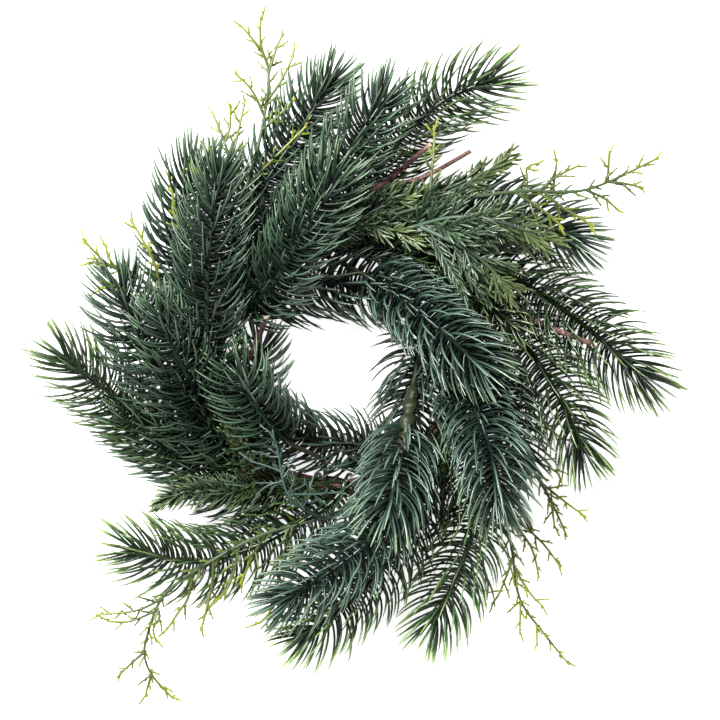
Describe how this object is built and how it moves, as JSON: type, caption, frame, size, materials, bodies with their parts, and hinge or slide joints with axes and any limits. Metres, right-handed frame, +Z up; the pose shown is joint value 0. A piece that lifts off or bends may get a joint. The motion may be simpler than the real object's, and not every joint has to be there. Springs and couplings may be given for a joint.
{
  "type": "fir wreath",
  "caption": "Round artificial fir wreath of clockwise sweeping sprays on a twisted twig ring, with cypress sprigs standing out of the edge; lies flat on a table.",
  "frame": {"origin": "bottom centre of the whole wreath's box, on the surface it lies on", "axes": "+Z up out of the wreath's face, +X to the right and +Y to the top of the wreath as seen from above"},
  "size_m": [0.3065, 0.3167, 0.0684],
  "materials": {
    "twig_bark": "matt reddish-brown vine bark",
    "deep_fir_foliage": "moulded, dark green, satin",
    "blue_fir_foliage": "moulded, blue-green with pale bloom, satin",
    "fresh_fir_foliage": "moulded, green with yellow-green tips, satin",
    "olive_foliage": "moulded, olive green, satin",
    "tipped_cypress_foliage": "moulded, green stems running to yellow-green tips",
    "teal_cypress_foliage": "moulded, pale teal green"
  },
  "bodies": {
    "root": {"fir_fringe_bottom": "deep_fir_foliage", "fir_fringe_right": "deep_fir_foliage", "fir_fringe_top": "deep_fir_foliage", "fir_fringe_left": "deep_fir_foliage", "fir_top_right": "fresh_fir_foliage", "fir_top_back": "deep_fir_foliage", "fir_upper_left_back": "deep_fir_foliage", "fir_left_outer": "fresh_fir_foliage", "fir_left_low": "deep_fir_foliage", "fir_bottom_left": "fresh_fir_foliage", "fir_bottom_right": "fresh_fir_foliage", "fir_right_lower": "fresh_fir_foliage", "fir_right_upper": "deep_fir_foliage", "fir_right_outer": "fresh_fir_foliage", "fir_bottom_outer": "fresh_fir_foliage", "fir_left_middle": "deep_fir_foliage", "fir_left_second": "deep_fir_foliage", "fir_right_back": "deep_fir_foliage", "fir_right_front": "blue_fir_foliage", "fir_right_olive": "olive_foliage", "fir_top_front": "deep_fir_foliage", "fir_bottom_front": "blue_fir_foliage", "fir_left_front": "deep_fir_foliage", "fir_inner_left": "deep_fir_foliage", "fir_upper_left": "deep_fir_foliage", "fir_inner_right": "blue_fir_foliage", "fir_lower_front": "blue_fir_foliage", "cypress_top": "tipped_cypress_foliage", "cypress_top_left": "tipped_cypress_foliage", "cypress_left": "tipped_cypress_foliage", "cypress_right": "tipped_cypress_foliage", "cypress_lower_right": "tipped_cypress_foliage", "cypress_bottom_right": "tipped_cypress_foliage", "cypress_bottom_left": "tipped_cypress_foliage", "cypress_front": "teal_cypress_foliage", "juniper_left": "olive_foliage", "fern_cypress_right": "olive_foliage", "fern_cypress_top": "olive_foliage", "curly_cypress_top": "olive_foliage", "fern_cypress_left": "olive_foliage", "vine_twig_1": "twig_bark", "vine_twig_2": "twig_bark", "vine_twig_3": "twig_bark", "vine_twig_4": "twig_bark", "vine_twig_5": "twig_bark"}
  },
  "joints": []
}
